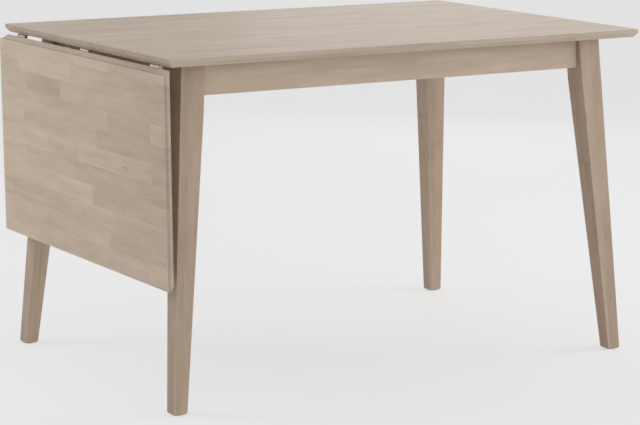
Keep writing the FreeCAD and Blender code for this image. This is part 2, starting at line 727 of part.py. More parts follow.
def leg_arris(edge):
    """True for the steep edges of a leg, apart from the inner one, where both tapers meet."""
    low, high = sorted((vertex.Point for vertex in edge.Vertexes), key=lambda point: point.z)
    inner = number(f"fits.foot_x + fits.foot_y - 2 * fits.splay * {high.z} - 1.5 * dims.leg_width")
    return high.z - low.z > number("dims.leg_width") and abs(high.x) + abs(high.y) > inner


def apron_arris(edge):
    """True for the two long bottom edges of an apron."""
    return (edge.BoundBox.ZMax < number("fits.apron_foot") + 0.01
            and edge.Length > number("dims.apron_thickness * 2"))


def apron_outline(face):
    """An apron's ends lean with the legs that they meet."""
    def half(height):
        return f"({face} - fits.splay * {height} - dims.leg_width)"
    return [("-" + half("fits.apron_foot"), "fits.apron_foot"), (half("fits.apron_foot"), "fits.apron_foot"),
            (half("fits.underside"), "fits.underside"), ("-" + half("fits.underside"), "fits.underside")]


def panel_arris(seat):
    """Picks the edges round a board's upper face and those that run down its corners."""
    def wanted(edge):
        box = edge.BoundBox
        crown = number(f"{seat} + dims.top_thickness") - 0.01
        return box.ZMin > crown or box.ZLength > 0.01
    return wanted


def rectangle_sketch(body, height, corners):
    sketch = new_sketch(body, "XY_Plane", height)
    draw_lines(sketch, rectangle(*corners))
    return sketch


def panel(name, seat, foot, full):
    """A board whose edges slope out from its foot outline to a square nosing."""
    body = doc.addObject("PartDesign::Body", name)
    nosing = f"{seat} + dims.top_thickness - dims.nosing_height"
    lower = rectangle_sketch(body, seat, foot)
    upper = rectangle_sketch(body, nosing, full)
    slope = body.newObject("PartDesign::AdditiveLoft", name + "_slope")
    slope.Profile = lower
    slope.Sections = [upper]
    slope.Ruled = True
    crown = body.newObject("PartDesign::Pad", name + "_crown")
    crown.Profile = rectangle_sketch(body, nosing, full)
    bind(crown, Length="dims.nosing_height")
    return rounded(f"eased_{name}", body, "dims.panel_round", panel_arris(seat))


half_length, half_width = "fits.half_length", "fits.half_width"
foot_length, foot_width = (f"({half} - dims.bevel_inset)" for half in (half_length, half_width))
top = panel("top", "fits.underside", (f"-{foot_length}", foot_length, f"-{foot_width}", foot_width),
            (f"-{half_length}", half_length, f"-{half_width}", half_width))
hinge_rooms_above = copies("hinge_rooms_above", hinge_rooms[1],
                           [("fits.axis_x", "0", "fits.axis_z", UPWARD)])
keep("table_top", cut("table_top", top, [hinge_rooms_above, bracket_rooms]))

# The leaf's hinge edge slopes the other way, so that it lies under the edge of the top.
leaf = panel("leaf", "dims.hinge_drop",
             ("dims.bevel_inset - fits.leaf_far", "-dims.leaf_gap", f"-{foot_width}", foot_width),
             ("-fits.leaf_far", "-fits.leaf_near", f"-{half_width}", half_width))
keep("drop_leaf", cut("drop_leaf", leaf, [hinge_rooms[-1], guide_rooms]), "leaf")

for label, side_x, side_y in CORNERS:
    from_front = padded(f"leg_front_view_{label}", "XZ_Plane", "-fits.half_width", "dims.top_width",
                        leg_outline(side_x, "fits.foot_x"))
    from_side = padded(f"leg_side_view_{label}", "YZ_Plane", "-fits.half_length", "dims.top_length",
                       leg_outline(side_y, "fits.foot_y"))
    post = doc.addObject("Part::Common", f"post_{label}")
    post.Base, post.Tool = from_front, from_side
    spread = "(dims.plate_corner + dims.plate_flange)"
    near_x, near_y = f"fits.corner_x - {spread}", f"fits.corner_y - {spread}"
    far_x, far_y = "fits.corner_x + dims.plate_flange", "fits.corner_y + dims.plate_flange"
    flat = padded(f"bolt_flat_{label}", "XY_Plane", "fits.apron_foot + dims.flat_rise",
                  "dims.apron_height",
                  [(signed(side_x, across), signed(side_y, along)) for across, along in
                   ((near_x, near_y), (far_x, near_y), (near_x, far_y))])
    keep(f"leg_{label}",
         cut(f"leg_{label}", rounded(f"eased_{label}", post, "dims.leg_round", leg_arris),
             [flat, bolt_rooms]))

glide = turned("glide", [("0", "0"), ("dims.glide_radius - dims.glide_chamfer", "0"),
                         ("dims.glide_radius", "dims.glide_chamfer"),
                         ("dims.glide_radius", "dims.glide_height"), ("0", "dims.glide_height")])
foot_middle = "fits.foot_{} - dims.foot_width / 2"
keep("floor_glides", copies("floor_glides", glide, [
    (signed(side_x, foot_middle.format("x")), signed(side_y, foot_middle.format("y")), "0", UPWARD)
    for _, side_x, side_y in CORNERS]))

# Two dowels join each end of the middle rail to its apron.
dowel_end = "dims.dowel_radius - dims.dowel_chamfer"
dowel_back = "fits.dowel_reach - dims.dowel_length"
dowel = turned("dowel", [("0", dowel_back), (dowel_end, dowel_back),
                         ("dims.dowel_radius", f"{dowel_back} + dims.dowel_chamfer"),
                         ("dims.dowel_radius", "fits.dowel_reach - dims.dowel_chamfer"),
                         (dowel_end, "fits.dowel_reach"), ("0", "fits.dowel_reach")])
dowel_room = turned("dowel_room", rectangle(
    "0", "dims.dowel_radius + dims.dowel_clearance", f"{dowel_back} - dims.dowel_end_room",
    "fits.dowel_reach + dims.dowel_end_room"))
dowel_spots = [("0", signed(side, "fits.corner_y"),
                f"fits.rail_foot + dims.rail_height / 2 + ({way}) * dims.dowel_spacing / 2", toward(0, side))
               for side in (-1, 1) for way in (-1, 1)]
dowel_rooms = copies("dowel_rooms", dowel_room, dowel_spots)

thick = "dims.apron_thickness"
APRONS = [("front_apron", "XZ_Plane", "-fits.side_face", "fits.foot_x"),
          ("back_apron", "XZ_Plane", "fits.corner_y", "fits.foot_x"),
          ("leaf_end_apron", "YZ_Plane", "-fits.end_face", "fits.foot_y"),
          ("far_end_apron", "YZ_Plane", "fits.corner_x", "fits.foot_y")]
for label, plane, start, face in APRONS:
    board = padded(f"board_{label}", plane, start, thick, apron_outline(face))
    eased = rounded(f"eased_{label}", board, "dims.apron_round", apron_arris)
    keep(label, cut(label, eased, [plate_rooms, bracket_rooms, ear_rooms, dowel_rooms]))
rail = padded("rail", "YZ_Plane", "-dims.rail_thickness / 2", "dims.rail_thickness",
              rectangle("-fits.corner_y", "fits.corner_y", "fits.rail_foot", "fits.underside"))
keep("middle_rail", cut("middle_rail", rail, [bracket_rooms, dowel_rooms]))
keep("rail_dowels", copies("rail_dowels", dowel, dowel_spots))

# ------------------------------------------------------------------------ check and export

doc.recompute()
failed = [thing.Name for thing in doc.Objects if {"Invalid", "Error"} & set(thing.State)]
failed += [part.Label for part in sub_parts if part.Shape.isNull() or not part.Shape.isValid()]
if failed:
    raise SystemExit("not built: " + ", ".join(failed))
os.makedirs("parts", exist_ok=True)
for part in sub_parts:
    part.Shape.exportStep(f"parts/{part.Label}.step")
    print(f"{part.Label:28s}{len(part.Shape.Solids):4d} solids {part.Shape.Volume / 1000:12.3f} cm3")
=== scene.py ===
import bmesh
import bpy
import json
import numpy as np
from math import pi, radians, tan
from mathutils import Euler, Matrix, Vector


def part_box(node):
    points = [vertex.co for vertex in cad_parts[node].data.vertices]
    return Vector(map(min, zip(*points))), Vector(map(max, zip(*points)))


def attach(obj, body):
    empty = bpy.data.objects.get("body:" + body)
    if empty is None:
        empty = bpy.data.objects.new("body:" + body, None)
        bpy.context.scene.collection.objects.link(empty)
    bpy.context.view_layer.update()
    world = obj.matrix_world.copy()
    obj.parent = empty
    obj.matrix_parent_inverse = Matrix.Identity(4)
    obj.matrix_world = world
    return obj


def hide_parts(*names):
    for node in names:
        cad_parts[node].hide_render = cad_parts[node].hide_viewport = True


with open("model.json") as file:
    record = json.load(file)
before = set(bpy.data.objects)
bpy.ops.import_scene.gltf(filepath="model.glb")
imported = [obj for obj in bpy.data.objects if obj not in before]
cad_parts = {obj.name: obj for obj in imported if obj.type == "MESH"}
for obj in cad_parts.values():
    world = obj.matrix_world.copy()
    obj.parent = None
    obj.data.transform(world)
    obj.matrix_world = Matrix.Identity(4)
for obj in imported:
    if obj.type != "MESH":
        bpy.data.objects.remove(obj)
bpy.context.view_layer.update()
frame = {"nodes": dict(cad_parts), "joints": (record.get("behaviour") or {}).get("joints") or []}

print("frame loaded:", len(frame["nodes"]), "nodes")


# helpers

def tint(red, green, blue):
    # an 8-bit screen colour as the linear one that shaders use, by the sRGB curve
    screen = np.array([red, green, blue]) / 255
    linear = np.where(screen > 0.04045, ((screen + 0.055) / 1.055) ** 2.4, screen / 12.92)
    return (*linear.tolist(), 1)


def camel(words):
    first, *rest = words.split("_")
    return first + "".join(word.title() for word in rest)


def readEach(items, key, width, kind=float):
    # a row of numbers for each vertex or edge
    found = np.zeros(len(items) * width, kind)
    items.foreach_get(key, found)
    return found.reshape(-1, width)


def points(node):
    return readEach(frame["nodes"][node].data.vertices, "co", 3)


def addObject(name, data):
    made = bpy.data.objects.new(name, data)
    bpy.context.scene.collection.objects.link(made)
    return made


# shader helpers

class Link:
    # a shader node's output that can stand in a sum
    def __init__(self, finish, socket):
        self.finish = finish
        self.socket = socket

    def __add__(self, other):
        return self.finish.calc("ADD", self, other)

    def __sub__(self, other):
        return self.finish.calc("SUBTRACT", self, other)

    def __rsub__(self, other):
        return self.finish.calc("SUBTRACT", other, self)

    def __mul__(self, other):
        return self.finish.calc("MULTIPLY", self, other)

    def __truediv__(self, other):
        return self.finish.calc("DIVIDE", self, other)

    __radd__ = __add__
    __rmul__ = __mul__

    def sway(self, share):
        # 0 to 1 becomes minus half the share to plus half of it
        return (self - 0.5) * share


class Finish:
    # the nodes of one material, or of the world
    def __init__(self, owner):
        self.owner = owner
        self.owner.use_nodes = True
        self.tree = self.owner.node_tree
        self.tree.nodes.clear()

    def add(self, kind, settings=None, sockets=None, output=0):
        node = self.tree.nodes.new(kind)
        for key, value in (settings or {}).items():
            setattr(node, key, value)
        for key, value in (sockets or {}).items():
            if isinstance(value, Link):
                self.tree.links.new(value.socket, node.inputs[key])
            else:
                node.inputs[key].default_value = value
        return Link(self, node.outputs[output]) if node.outputs else None

    def calc(self, operation, *values):
        return self.add("ShaderNodeMath", {"operation": operation}, dict(enumerate(values)))

    def limit(self, value):
        return self.add("ShaderNodeClamp", None, {"Value": value})

    def ramp(self, value, low, high):
        # 0 below low, 1 above high, smooth between
        return self.add("ShaderNodeMapRange", {"interpolation_type": "SMOOTHSTEP"},
                        {"Value": value, "From Min": low, "From Max": high})

    def mix(self, amount, first, second, blend="MIX"):
        return self.add("ShaderNodeMix", {"data_type": "RGBA", "blend_type": blend},
                        {0: amount, 6: first, 7: second}, 2)

    def stretch(self, vector, scale, shift=(0, 0, 0)):
        return self.add("ShaderNodeVectorMath", {"operation": "MULTIPLY_ADD"},
                        {0: vector, 1: scale, 2: shift})

    def split(self, vector):
        return [self.add("ShaderNodeSeparateXYZ", None, {0: vector}, axis) for axis in range(3)]

    def noise(self, place, settings, shift=(0, 0, 0)):
        # the settings are how fine it is each way, its detail and its roughness
        scale, detail, roughness = settings
        return self.add("ShaderNodeTexNoise", None,
                        {"Vector": self.stretch(place, scale, shift), "Scale": 1.0, "Detail": detail,
                         "Roughness": roughness})

    def chance(self, place, output=0):
        # a chance value of its own for each exact place
        return self.add("ShaderNodeTexWhiteNoise", {"noise_dimensions": "3D"}, {"Vector": place}, output)

    def attribute(self, name, output="Fac"):
        return self.add("ShaderNodeAttribute", {"attribute_name": name}, None, output)

    def objectPlace(self):
        return self.add("ShaderNodeTexCoord", None, None, "Object")

    def bump(self, height, strength, distance):
        return self.add("ShaderNodeBump", None,
                        {"Strength": strength, "Distance": distance, "Height": height})

    def surface(self, sockets):
        shader = self.add("ShaderNodeBsdfPrincipled", None, sockets)
        self.add("ShaderNodeOutputMaterial", None, {"Surface": shader})
        return self.owner


# wood

woodLook = {
    "rowSeed": 0.37,
    "rowShift": 9.0,                             # how many staves a row may be moved along
    "lengthSpread": 0.26,                        # how unlike a row's staves are in length, below 0.4
    "lengthWave": 2.3,
    "rowWave": 1.7,
    "cellSeed": 0.5,
    "shiftSpread": (31.0, 47.0, 23.0),           # how far apart the staves read their noises
    "pithSpread": 0.11,                          # the width in which the middle of a stave's tree lies
    "pithDepth": 0.022,                          # how far under the board it lies at least
    "pithRange": 0.06,                           # and how much deeper it may be
    "pithLean": 0.05,
    "ringWidth": 0.0052,
    "ringWander": 0.011,
    "wander": ((2.5, 16.0, 16.0), 1.0, 0.5),
    "streaks": ((3.0, 30.0, 30.0), 1.0, 0.5),
    "blotches": ((9.0, 48.0, 48.0), 2.0, 0.6),
    "fibres": ((22.0, 620.0, 620.0), 3.0, 0.62),
    "clouds": ((3.0, 7.0, 7.0), 1.0, 0.5),
    "flecks": ((15.0, 190.0, 190.0), 1.0, 0.5),
    "fleckRange": (0.68, 0.80),
    "fleckedStaves": (0.45, 0.7),
    "jointWidth": 0.0005,
    "streakShare": 0.6,
    "blotchShare": 0.8,
    "ringShare": 0.05,
    "fibreShare": 0.18,
    "cloudShare": 0.3,
    "tintedStaves": (0.3, 1.0),
    "fleckShare": 0.4,
    "jointShare": 0.16,
    "wornAndHighlightShare": 0.5,
    "fibreRelief": 0.6,
    "ringRelief": 0.25,
    "jointRelief": 0.6,
    "fleckRelief": 0.3,
    "bumpStrength": 0.22,
    "bumpDistance": 0.0003,
    "roughness": 0.46,
    "fibreRoughness": 0.14,
    "wearRoughness": 0.06,
    "fleck": tint(112, 92, 76),
    # pale colour of the eased edges: rubbed wear, and a painted highlight along the arrises
    "worn": tint(206, 194, 178),
    "rosy": (1.025, 0.985, 0.985, 1),
    "sallow": (0.995, 1.0, 0.965, 1),
    "endGrain": (0.8, 0.785, 0.79, 1),
    "limed": (0.88, 0.91, 0.95, 1),              # painted shade, darker and cooler, on edge faces turned away from the board's face
}


def woodFinish(name, pale, dark, staveWidth, staveLength, toneShare):
    # Glued staves of plain-sawn wood under a pale oil.  Each stave is cut from its own place in a
    # tree: its rings are cylinders about a leaning middle, drawn from the board's own coordinates.
    look = woodLook
    finish = Finish(bpy.data.materials.new(name))
    board = finish.attribute("board", "Vector")
    wear = finish.attribute("wear")
    along, across, through = finish.split(board)

    # the stave, by its row and its cell in the row, and its own chances
    rowPlace = across / staveWidth
    row = finish.calc("FLOOR", rowPlace)
    rowChance = finish.add("ShaderNodeTexWhiteNoise", {"noise_dimensions": "1D"},
                           {"W": row + look["rowSeed"]})
    even = along / staveLength + rowChance * look["rowShift"]
    wave = finish.calc("SINE", even * look["lengthWave"] + row * look["rowWave"])
    cellPlace = even + wave * look["lengthSpread"]
    cell = finish.calc("FLOOR", cellPlace)
    spot = finish.add("ShaderNodeCombineXYZ", None, {0: row, 1: cell, 2: look["cellSeed"]})
    tone = finish.chance(spot)
    chances = finish.chance(spot, "Color")
    side, deep, lean = finish.split(chances)
    shift = finish.stretch(chances, look["shiftSpread"])

    # rings = 1/2 + 1/2 sine of the way from the tree's middle, bent by a noise
    offCentre = (across - (row + 0.5) * staveWidth + side.sway(look["pithSpread"])
                 + along * (lean - 0.5) * look["pithLean"])
    below = through + deep * look["pithRange"] + look["pithDepth"]
    wander = finish.noise(board, look["wander"], shift)
    radius = finish.calc("SQRT", offCentre * offCentre + below * below) + wander * look["ringWander"]
    rings = finish.calc("SINE", radius * (2 * pi / look["ringWidth"])) * 0.5 + 0.5

    streaks = finish.noise(board, look["streaks"], shift)
    blotches = finish.noise(board, look["blotches"], shift)
    fibres = finish.noise(board, look["fibres"], shift)
    clouds = finish.noise(board, look["clouds"])
    flecks = finish.noise(board, look["flecks"], shift)
    fleckMask = finish.ramp(flecks, *look["fleckRange"]) * finish.ramp(deep, *look["fleckedStaves"])

    edge = finish.calc("PINGPONG", rowPlace, 0.5) * staveWidth
    end = finish.calc("PINGPONG", cellPlace, 0.5) * staveLength
    joint = 1 - finish.ramp(finish.calc("MINIMUM", edge, end), 0.0, look["jointWidth"])

    amount = (0.5 + tone.sway(toneShare) + streaks.sway(look["streakShare"])
              + blotches.sway(look["blotchShare"]) + rings.sway(look["ringShare"])
              + fibres.sway(look["fibreShare"]) + clouds.sway(look["cloudShare"]))
    colour = finish.mix(finish.limit(amount), dark, pale)
    for share, other, blend in (
            (finish.ramp(side, *look["tintedStaves"]), look["rosy"], "MULTIPLY"),
            (finish.ramp(lean, *look["tintedStaves"]), look["sallow"], "MULTIPLY"),
            (fleckMask * look["fleckShare"], look["fleck"], "MIX"),
            (joint * look["jointShare"], look["fleck"], "MIX"),
            (finish.attribute("cutEnd"), look["endGrain"], "MULTIPLY"),
            # edge faces turned away from the board's face get painted shade, darker and cooler
            (finish.attribute("rim"), look["limed"], "MULTIPLY"),
            # paler wood along the eased edges: partly rubbed wear, partly a painted highlight on the arrises
            (wear * fibres * look["wornAndHighlightShare"], look["worn"], "MIX")):
        colour = finish.mix(share, colour, other, blend)

    relief = (fibres * look["fibreRelief"] + rings * look["ringRelief"] - joint * look["jointRelief"]
              - fleckMask * look["fleckRelief"])
    roughness = look["roughness"] + fibres.sway(look["fibreRoughness"]) + wear * look["wearRoughness"]
    return finish.surface({"Base Color": colour, "Roughness": roughness,
                           "Normal": finish.bump(relief, look["bumpStrength"], look["bumpDistance"])})


dowelLook = {"streaks": ((700.0, 18.0, 700.0), 3.0, 0.6), "pores": ((2600.0, 240.0, 2600.0), 1.0, 0.5),
             "poreRange": (0.62, 0.72), "poreShare": 0.3, "roughness": 0.6, "streakRoughness": 0.2,
             "bumpStrength": 0.2, "bumpDistance": 0.0002}


def dowelFinish(name, pale, dark):
    # turned wood with its grain along Y, and fine pores
    look = dowelLook
    finish = Finish(bpy.data.materials.new(name))
    place = finish.objectPlace()
    streaks = finish.noise(place, look["streaks"])
    pores = finish.ramp(finish.noise(place, look["pores"]), *look["poreRange"])
    colour = finish.mix(finish.limit(streaks - pores * look["poreShare"]), dark, pale)
    return finish.surface({"Base Color": colour,
                           "Roughness": look["roughness"] + streaks.sway(look["streakRoughness"]),
                           "Normal": finish.bump(streaks - pores, look["bumpStrength"],
                                                 look["bumpDistance"])})


boardTones = {"pale": tint(211, 194, 174), "dark": tint(174, 153, 133)}
legTones = {"pale": tint(191, 171, 151), "dark": tint(156, 134, 114)}
topWood = woodFinish("topWood", staveWidth=0.042, staveLength=0.37, toneShare=0.3, **boardTones)
leafWood = woodFinish("leafWood", staveWidth=0.042, staveLength=0.24, toneShare=0.34, **boardTones)
apronWood = woodFinish("apronWood", staveWidth=0.0355, staveLength=1.3, toneShare=0.2, **boardTones)
legWood = woodFinish("legWood", staveWidth=0.021, staveLength=12.0, toneShare=0.3, **legTones)
dowelWood = dowelFinish("dowelWood", tint(196, 170, 136), tint(160, 132, 98))
print("wood finishes made")


# metal and nylon

metalLook = {"clouds": ((90.0, 90.0, 90.0), 3.0, 0.5), "cloudShare": 1.2, "lineShare": 0.5,
             "shadeShare": 0.35, "lineRoughness": 0.14, "cloudRoughness": 0.16,
             "bumpStrength": 0.08, "bumpDistance": 0.0001}


def metalFinish(name, colour, shade, roughness, lineSettings):
    # rolled and plated steel: cloudy plating over fine lines along the rolling direction
    look = metalLook
    finish = Finish(bpy.data.materials.new(name))
    place = finish.objectPlace()
    lines = finish.noise(place, lineSettings)
    clouds = finish.noise(place, look["clouds"])
    blend = finish.limit(clouds * look["cloudShare"] + lines * look["lineShare"] - look["shadeShare"])
    rough = roughness + lines.sway(look["lineRoughness"]) + clouds.sway(look["cloudRoughness"])
    bump = finish.bump(lines + clouds, look["bumpStrength"], look["bumpDistance"])
    return finish.surface({"Base Color": finish.mix(blend, shade, colour), "Metallic": 1.0,
                           "Roughness": rough, "Normal": bump})


nylonLook = {"grit": ((2600.0, 2600.0, 2600.0), 2.0, 0.5), "clouds": ((160.0, 160.0, 160.0), 2.0, 0.5),
             "roughness": 0.5, "gritRoughness": 0.2, "bumpStrength": 0.3, "bumpDistance": 0.0001}


def nylonFinish(name, colour, shade):
    look = nylonLook
    finish = Finish(bpy.data.materials.new(name))
    place = finish.objectPlace()
    grit = finish.noise(place, look["grit"])
    clouds = finish.noise(place, look["clouds"])
    return finish.surface({"Base Color": finish.mix(clouds, shade, colour),
                           "Roughness": look["roughness"] + grit.sway(look["gritRoughness"]),
                           "Normal": finish.bump(grit, look["bumpStrength"], look["bumpDistance"])})


alongY = ((900.0, 40.0, 900.0), 3.0, 0.6)
alongZ = ((900.0, 900.0, 40.0), 3.0, 0.6)
hingeSteel = metalFinish("hingeSteel", tint(198, 188, 176), tint(168, 158, 147), 0.44, alongY)
staySteel = metalFinish("staySteel", tint(198, 199, 200), tint(165, 167, 170), 0.38, alongZ)
platedSteel = metalFinish("platedSteel", tint(200, 198, 190), tint(168, 166, 158), 0.36, alongZ)
rivetSteel = metalFinish("rivetSteel", tint(212, 212, 210), tint(184, 184, 182), 0.28, alongY)
screwSteel = metalFinish("screwSteel", tint(210, 203, 182), tint(178, 170, 148), 0.3, alongZ)
glideNylon = nylonFinish("glideNylon", tint(206, 202, 194), tint(190, 186, 178))
print("metal and nylon finishes made")


# sizes that the wooden pieces share, from the frame

topLow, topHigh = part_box("table_top")
hinge = next(joint for joint in frame["joints"] if joint["name"] == "leaf_hinge")
leafTurn = -radians(hinge["range_deg"][1])
middleX = (topLow.x + topHigh.x) / 2
underside = topLow.z


# mesh builders

easing = {"lineSteps": 4, "cornerSteps": 3, "lead": 0.0012, "straight": 0.95}


def easeLine(corners, ease):
    # A line of (out, height) points whose inner corners become curves that leave the sides at the ease's
    # distance: point = corner - ease * (1 - s)^2 * run before + ease * s^2 * run after, s from 0 to 1.
    # A lead point stands on the straight before and after each.  Also gives 1 on curves, 0 elsewhere.
    corners = np.asarray(corners, float)
    runs = np.diff(corners, axis=0)
    runs /= np.linalg.norm(runs, axis=1, keepdims=True)
    before, after = runs[:-1, None], runs[1:, None]
    share = np.linspace(0, 1, easing["lineSteps"] + 1)[None, :, None]
    curves = corners[1:-1, None] - ease * (1 - share) ** 2 * before + ease * share ** 2 * after
    line = np.concatenate([curves[:, :1] - easing["lead"] * before, curves,
                           curves[:, -1:] + easing["lead"] * after], axis=1)
    wear = np.zeros(line.shape[:2])
    wear[:, 1:-1] = (before * after).sum(2) < easing["straight"]     # not where a side only bends a little
    line = np.concatenate([corners[:1], line.reshape(-1, 2), corners[-1:]])
    return line, np.concatenate([[0], wear.ravel(), [0]])


def easedSolid(sides, radius, innerLead=None):
    # Rings of a four-sided solid.  sides holds the right, back, left and front outlines, each a row of
    # (out, height) points, one a ring.  Round each corner a point lies at side - radius + radius *
    # (cos, sin), and its height passes from one side's to the next by cos squared and sin squared.
    # innerLead is the lead at the corner between the left and the front side.
    outlines = np.array([line for line, _ in sides])
    steps = easing["cornerSteps"] + 1
    edge = np.radians(np.concatenate([[0], np.linspace(0, 90, steps), [90]]))
    leads = np.full(outlines.shape[:2], easing["lead"])
    if innerLead is not None:
        leads[2] = innerLead
    following = np.roll(outlines, -1, axis=0)
    first = outlines[:, :, :1] - radius * (1 - np.cos(edge))
    second = following[:, :, :1] - radius * (1 - np.sin(edge))
    first[:, :, -1] -= leads
    second[:, :, 0] -= leads
    turn = (np.arange(4) * pi / 2)[:, None, None]
    height = outlines[:, :, 1:] * np.cos(edge) ** 2 + following[:, :, 1:] * np.sin(edge) ** 2
    rings = np.stack([first * np.cos(turn) - second * np.sin(turn),
                      first * np.sin(turn) + second * np.cos(turn), height], axis=-1)
    rings = rings.transpose(1, 0, 2, 3).reshape(outlines.shape[1], -1, 3)
    onCorner = np.tile(np.r_[0, np.ones(steps), 0], 4)
    wear = np.maximum(sides[0][1][:, None], onCorner[None])
    wear[[0, -1]] = 0
    return rings, wear


def ringFaces(count, around):
    # quads that join each ring to the next, and the two faces that close the first and the last
    here = np.arange(count * around).reshape(count, around)
    ahead = np.roll(here, -1, axis=1)
    quads = np.stack([here[:-1], ahead[:-1], ahead[1:], here[1:]], axis=-1).reshape(-1, 4)
    return quads, here[[0, -1]]


def smoothMesh(name, corners, faces):
    # a mesh with its faces outwards
    mesh = bpy.data.meshes.new(name)
    mesh.from_pydata(corners, [], faces)
    shell = bmesh.new()
    shell.from_mesh(mesh)
    bmesh.ops.recalc_face_normals(shell, faces=shell.faces)
    shell.to_mesh(mesh)
    shell.free()
    mesh.shade_smooth()
    return mesh


def skin(name, rings, finish, wear, board, grain, face=(0, 0, 0)):
    # A closed piece through the rings.  Grain and face are directions: cut end = (normal . grain)
    # squared, and rim = 1 - (normal . face) squared, or 0 without a face.
    quads, closing = ringFaces(*rings.shape[:2])
    mesh = smoothMesh(name, rings.reshape(-1, 3), quads.tolist() + closing.tolist())
    normals = readEach(mesh.vertices, "normal", 3)
    # rim is 1 on faces turned away from the board's face, where the wood paints shade
    cutEnd, rim = (normals @ np.transpose([grain, face])).T ** 2
    rim = 1 - rim if any(face) else rim
    mesh.attributes.new("board", "FLOAT_VECTOR", "POINT").data.foreach_set("vector", board.ravel())
    for label, amount in (("wear", wear.ravel()), ("cutEnd", cutEnd), ("rim", rim)):
        mesh.attributes.new(label, "FLOAT", "POINT").data.foreach_set("value", amount)
    mesh.materials.append(finish)
    return addObject(name, mesh)


def install(piece, body, node):
    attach(piece, body)
    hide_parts(node)


# the top and the leaf

panel = {"nosing": 0.008, "bevel": 0.0085, "ease": 0.0009, "cornerRadius": 0.0014, "rim": 0.03,
         "topShift": (0.13, 0.021, 0), "leafShift": (3.7, 0.012, 0)}


def panelSide(half, thickness, foot, crown):
    # underside, sloping edge, square nosing, upper face
    inside = half - panel["rim"]
    outside = half - crown
    return easeLine([(inside, 0), (half - foot, 0), (outside, thickness - panel["nosing"]),
                     (outside, thickness), (inside, thickness)], panel["ease"])


def makeTop():
    size = np.array(topHigh - topLow)
    ends, fronts = (panelSide(half, size[2], panel["bevel"], 0) for half in size[:2] / 2)
    rings, wear = easedSolid([ends, fronts, ends, fronts], panel["cornerRadius"])
    piece = skin("topBoard", rings + [middleX, 0, underside], topWood, wear, rings + panel["topShift"],
                 (1, 0, 0), (0, 0, 1))
    install(piece, "frame", "table_top")


def makeLeaf():
    # built flat, as when it is raised, then turned down about the hinge
    pivot = np.array(hinge["pos_m"])
    turn = np.array(Matrix.Rotation(leafTurn, 3, "Y"))
    flat = (points("drop_leaf") - pivot) @ turn      # turned back by the inverse
    low, high = flat.min(0), flat.max(0)
    half = (high - low)[:2] / 2
    thickness = high[2] - low[2]
    far, fronts = (panelSide(size, thickness, panel["bevel"], 0) for size in half)
    near = panelSide(half[0], thickness, 0, panel["bevel"])
    rings, wear = easedSolid([near, fronts, far, fronts], panel["cornerRadius"])
    centre = np.array([(low[0] + high[0]) / 2, (low[1] + high[1]) / 2, low[2]])
    piece = skin("leafBoard", (rings + centre) @ turn.T + pivot, leafWood, wear,
                 rings[:, :, [1, 0, 2]] + panel["leafShift"], (0, 1, 0), turn[:, 2])
    install(piece, "leaf", "drop_leaf")


makeTop()
makeLeaf()
print("top and leaf made")


# the legs

leg = {"splay": 3.8, "width": 0.055, "foot": 0.032, "chamfer": 0.003, "kneeDrop": 0.03, "ease": 0.0015,
       "flatRise": 0.01, "boardStep": (5.3, 0.011, 0)}


def makeLeg(place, node):
    # All legs are worked out as the one at the back right and mirrored to their corner.  Outer sides
    # lean out by the splay, and inner sides taper in below the knee.
    low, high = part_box("leg_back_right")
    lean = tan(radians(leg["splay"]))
    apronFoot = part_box("front_apron")[0].z
    knee = apronFoot - leg["kneeDrop"]
    chamferTop = low.z + leg["chamfer"]
    flatFoot = apronFoot + leg["flatRise"]
    taper = lean + (leg["width"] - leg["foot"]) / knee

    def sideLine(face, way):
        # the outline of an outer side for a way of 1, and of an inner side for -1
        def at(height):
            if way > 0:
                return face - lean * height
            if height < knee:
                return face - (taper * height + leg["foot"])
            return face - (lean * height + leg["width"])

        middle = face - leg["foot"] / 2 - lean * low.z
        top = face - lean * underside - leg["width"] / 2
        spots = [(way * middle + leg["chamfer"], low.z), (way * at(low.z) - leg["chamfer"], low.z)]
        spots += [(way * at(height), height) for height in (chamferTop, knee, flatFoot, underside)]
        return easeLine(spots + [(way * top + leg["chamfer"], underside)], leg["ease"])

    faces = (high.x - middleX + lean * chamferTop, high.y + lean * chamferTop)
    sides = [sideLine(face, way) for way in (1, -1) for face in faces]
    heights = sides[0][0][:, 1]

    # Above the flat's foot the inner corner is cut off level with the outer faces of the bolt washers.
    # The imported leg's own cut lies further out, by the thickness of the corner plate.
    plane = float(np.abs(points("leg_bolt_washers") - [middleX, 0, 0])[:, :2].sum(1).max())
    innerSum = -sides[2][0][:, 0] - sides[3][0][:, 0]
    innerLead = np.where(heights > flatFoot, np.maximum(plane - innerSum - leg["ease"], easing["lead"]),
                         easing["lead"])
    rings, wear = easedSolid(sides, leg["ease"], innerLead)
    cut = np.where(heights > flatFoot, plane, -np.inf)
    cut[-2:] += np.array([0.5, 1]) * leg["chamfer"]       # the closing rings lie one inside the other
    rings[:, :, :2] += np.clip(cut[:, None] - rings[:, :, 0] - rings[:, :, 1], 0, None)[:, :, None] / 2

    board = rings[:, :, [2, 0, 1]]
    board[:, :, 1:] += (lean * rings[:, :, 2])[:, :, None] - np.array(faces) + leg["foot"] / 2
    board += place * np.array(leg["boardStep"])
    sign = np.array([1 if "right" in node else -1, 1 if "back" in node else -1, 1])
    piece = skin(camel(node), rings * sign + [middleX, 0, 0], legWood, wear, board, (0, 0, 1))
    install(piece, "frame", node)


for place, node in enumerate(["leg_front_left", "leg_front_right", "leg_back_left", "leg_back_right"]):
    makeLeg(place, node)
print("legs made")


# the aprons and the rail

apron = {"ease": 0.0016, "railEase": 0.0008, "closingInset": 4, "touch": 1e-5,
         "boardStart": 1, "boardStep": (2.9, 0.0355)}


